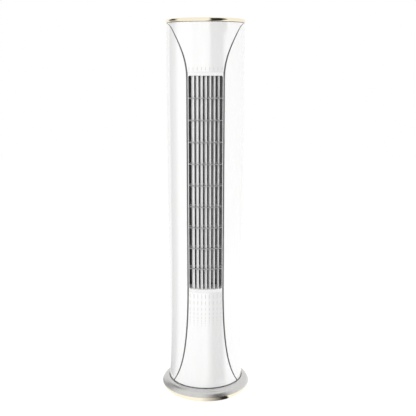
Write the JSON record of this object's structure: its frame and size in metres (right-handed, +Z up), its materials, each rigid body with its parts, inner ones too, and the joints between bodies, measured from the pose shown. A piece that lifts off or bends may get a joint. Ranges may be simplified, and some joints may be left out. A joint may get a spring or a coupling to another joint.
{
  "type": "floor standing air conditioner",
  "caption": "Round column indoor unit of a split air conditioner, with a tall slatted outlet in front, swinging vertical vanes and a wide round plinth.",
  "frame": {"origin": "centre of the plinth on the floor", "axes": "+Z up along the cabinet, -Y out of the air outlet at the front, +X to the right seen from the front"},
  "size_m": [0.4438, 0.4438, 1.83],
  "materials": {
    "gloss_white": "high gloss white moulding",
    "satin_white": "satin white moulding",
    "trim_grey": "smooth grey strip",
    "vane_silver": "pale silver grey paint, semi gloss",
    "brushed_silver": "brushed all round, semi gloss",
    "gold_trim": "polished pale gold plating",
    "grey_plastic": "plain moulded",
    "dark_plastic": "plain moulded, dark",
    "motor_case": "grey paint",
    "zinc_steel": "zinc coated sheet",
    "fin_aluminium": "pressed fins",
    "copper": "drawn copper tube, dull",
    "rubber": "black moulded rubber",
    "filter_mesh": "fine dark mesh in a moulded frame",
    "circuit_board": "green board with components"
  },
  "bodies": {
    "cabinet": {"foot_front_right": "rubber", "foot_rear_right": "rubber", "foot_rear_left": "rubber", "foot_front_left": "rubber", "base_plate": "zinc_steel", "base_rim": "gold_trim", "base_ring": "brushed_silver", "front_panel_lower": "gloss_white", "front_panel_upper": "gloss_white", "side_panel_right": "gloss_white", "side_panel_left": "gloss_white", "rear_panel": "gloss_white", "outlet_frame": "gloss_white", "trim_strip_right": "trim_grey", "trim_strip_left": "trim_grey", "pipe_cover": "satin_white", "cord_grommet": "rubber", "intake_grille": "satin_white", "top_ring": "gold_trim", "top_cover": "satin_white", "vane_motor": "grey_plastic", "louvre_motor": "grey_plastic", "lower_deck": "zinc_steel", "upper_deck": "zinc_steel", "drain_pan": "dark_plastic", "fan_scroll": "dark_plastic", "fan_tongue": "dark_plastic", "fan_bearing": "rubber", "fan_motor": "motor_case", "evaporator_coil": "fin_aluminium", "suction_pipe": "copper", "liquid_pipe": "copper", "filter_guide": "satin_white", "chassis_frame": "zinc_steel", "control_box": "zinc_steel", "control_board": "circuit_board", "display_board": "circuit_board"},
    "fan": {"fan_rotor": "dark_plastic", "fan_top_shaft": "zinc_steel", "motor_shaft": "zinc_steel"},
    "vane_1_body": {"vane_1": "vane_silver"},
    "vane_2_body": {"vane_2": "vane_silver"},
    "vane_3_body": {"vane_3": "vane_silver"},
    "vane_4_body": {"vane_4": "vane_silver"},
    "vane_5_body": {"vane_5": "vane_silver"},
    "vane_6_body": {"vane_6": "vane_silver"},
    "vane_7_body": {"vane_7": "vane_silver"},
    "louvre_1_body": {"louvre_1": "vane_silver"},
    "louvre_2_body": {"louvre_2": "vane_silver"},
    "louvre_3_body": {"louvre_3": "vane_silver"},
    "louvre_4_body": {"louvre_4": "vane_silver"},
    "louvre_5_body": {"louvre_5": "vane_silver"},
    "louvre_6_body": {"louvre_6": "vane_silver"},
    "louvre_7_body": {"louvre_7": "vane_silver"},
    "louvre_8_body": {"louvre_8": "vane_silver"},
    "louvre_9_body": {"louvre_9": "vane_silver"},
    "vane_link_body": {"vane_link": "grey_plastic"},
    "louvre_link_body": {"louvre_link": "grey_plastic"},
    "filter_lower_body": {"filter_lower": "filter_mesh"},
    "filter_upper_body": {"filter_upper": "filter_mesh"}
  },
  "joints": [
    {"name": "fan_spin", "type": "hinge", "parent": "cabinet", "child": "fan", "pos_m": [0, -0.028, 0.572], "axis": [0, 0, 1], "continuous": true},
    {"name": "vane_1_swing", "type": "hinge", "parent": "cabinet", "child": "vane_1_body", "pos_m": [-0.0585, -0.15532, 0.5747], "axis": [0, 0, 1], "range_deg": [-58.2, 22.2]},
    {"name": "vane_2_swing", "type": "hinge", "parent": "cabinet", "child": "vane_2_body", "pos_m": [-0.039, -0.16089, 0.5747], "axis": [0, 0, 1], "range_deg": [-58.2, 22.2]},
    {"name": "vane_3_swing", "type": "hinge", "parent": "cabinet", "child": "vane_3_body", "pos_m": [-0.0195, -0.16414, 0.5747], "axis": [0, 0, 1], "range_deg": [-58.2, 22.2]},
    {"name": "vane_4_swing", "type": "hinge", "parent": "cabinet", "child": "vane_4_body", "pos_m": [0, -0.16521, 0.5747], "axis": [0, 0, 1], "range_deg": [-58.2, 22.2]},
    {"name": "vane_5_swing", "type": "hinge", "parent": "cabinet", "child": "vane_5_body", "pos_m": [0.0195, -0.16414, 0.5747], "axis": [0, 0, 1], "range_deg": [-58.2, 22.2]},
    {"name": "vane_6_swing", "type": "hinge", "parent": "cabinet", "child": "vane_6_body", "pos_m": [0.039, -0.16089, 0.5747], "axis": [0, 0, 1], "range_deg": [-58.2, 22.2]},
    {"name": "vane_7_swing", "type": "hinge", "parent": "cabinet", "child": "vane_7_body", "pos_m": [0.0585, -0.15532, 0.5747], "axis": [0, 0, 1], "range_deg": [-58.2, 22.2]},
    {"name": "vane_link_shift", "type": "slide", "parent": "cabinet", "child": "vane_link_body", "axis": [1, 0, 0], "range_m": [-0.00425, 0.0112]},
    {"name": "louvre_1_tilt", "type": "hinge", "parent": "cabinet", "child": "louvre_1_body", "pos_m": [0, -0.118, 0.67505], "axis": [1, 0, 0], "range_deg": [-25.2, 25.2]},
    {"name": "louvre_2_tilt", "type": "hinge", "parent": "cabinet", "child": "louvre_2_body", "pos_m": [0, -0.118, 0.7754], "axis": [1, 0, 0], "range_deg": [-25.2, 25.2]},
    {"name": "louvre_3_tilt", "type": "hinge", "parent": "cabinet", "child": "louvre_3_body", "pos_m": [0, -0.118, 0.87575], "axis": [1, 0, 0], "range_deg": [-25.2, 25.2]},
    {"name": "louvre_4_tilt", "type": "hinge", "parent": "cabinet", "child": "louvre_4_body", "pos_m": [0, -0.118, 0.9761], "axis": [1, 0, 0], "range_deg": [-25.2, 25.2]},
    {"name": "louvre_5_tilt", "type": "hinge", "parent": "cabinet", "child": "louvre_5_body", "pos_m": [0, -0.118, 1.07645], "axis": [1, 0, 0], "range_deg": [-25.2, 25.2]},
    {"name": "louvre_6_tilt", "type": "hinge", "parent": "cabinet", "child": "louvre_6_body", "pos_m": [0, -0.118, 1.1768], "axis": [1, 0, 0], "range_deg": [-25.2, 25.2]},
    {"name": "louvre_7_tilt", "type": "hinge", "parent": "cabinet", "child": "louvre_7_body", "pos_m": [0, -0.118, 1.27715], "axis": [1, 0, 0], "range_deg": [-25.2, 25.2]},
    {"name": "louvre_8_tilt", "type": "hinge", "parent": "cabinet", "child": "louvre_8_body", "pos_m": [0, -0.118, 1.3775], "axis": [1, 0, 0], "range_deg": [-25.2, 25.2]},
    {"name": "louvre_9_tilt", "type": "hinge", "parent": "cabinet", "child": "louvre_9_body", "pos_m": [0, -0.118, 1.47785], "axis": [1, 0, 0], "range_deg": [-25.2, 25.2]},
    {"name": "louvre_link_shift", "type": "slide", "parent": "cabinet", "child": "louvre_link_body", "axis": [0, 0, 1], "range_m": [-0.00507, 0.00507]},
    {"name": "filter_lower_slide", "type": "slide", "parent": "cabinet", "child": "filter_lower_body", "axis": [1, 0, 0], "range_m": [0, 0.24]},
    {"name": "filter_upper_slide", "type": "slide", "parent": "cabinet", "child": "filter_upper_body", "axis": [1, 0, 0], "range_m": [0, 0.24]}
  ],
  "couplings": [
    {"joint": "vane_1_swing", "follows": "vane_link_shift", "rad_per_m": -90.09},
    {"joint": "vane_2_swing", "follows": "vane_link_shift", "rad_per_m": -90.09},
    {"joint": "vane_3_swing", "follows": "vane_link_shift", "rad_per_m": -90.09},
    {"joint": "vane_4_swing", "follows": "vane_link_shift", "rad_per_m": -90.09},
    {"joint": "vane_5_swing", "follows": "vane_link_shift", "rad_per_m": -90.09},
    {"joint": "vane_6_swing", "follows": "vane_link_shift", "rad_per_m": -90.09},
    {"joint": "vane_7_swing", "follows": "vane_link_shift", "rad_per_m": -90.09},
    {"joint": "louvre_1_tilt", "follows": "louvre_link_shift", "rad_per_m": 85.98},
    {"joint": "louvre_2_tilt", "follows": "louvre_link_shift", "rad_per_m": 85.98},
    {"joint": "louvre_3_tilt", "follows": "louvre_link_shift", "rad_per_m": 85.98},
    {"joint": "louvre_4_tilt", "follows": "louvre_link_shift", "rad_per_m": 85.98},
    {"joint": "louvre_5_tilt", "follows": "louvre_link_shift", "rad_per_m": 85.98},
    {"joint": "louvre_6_tilt", "follows": "louvre_link_shift", "rad_per_m": 85.98},
    {"joint": "louvre_7_tilt", "follows": "louvre_link_shift", "rad_per_m": 85.98},
    {"joint": "louvre_8_tilt", "follows": "louvre_link_shift", "rad_per_m": 85.98},
    {"joint": "louvre_9_tilt", "follows": "louvre_link_shift", "rad_per_m": 85.98}
  ]
}
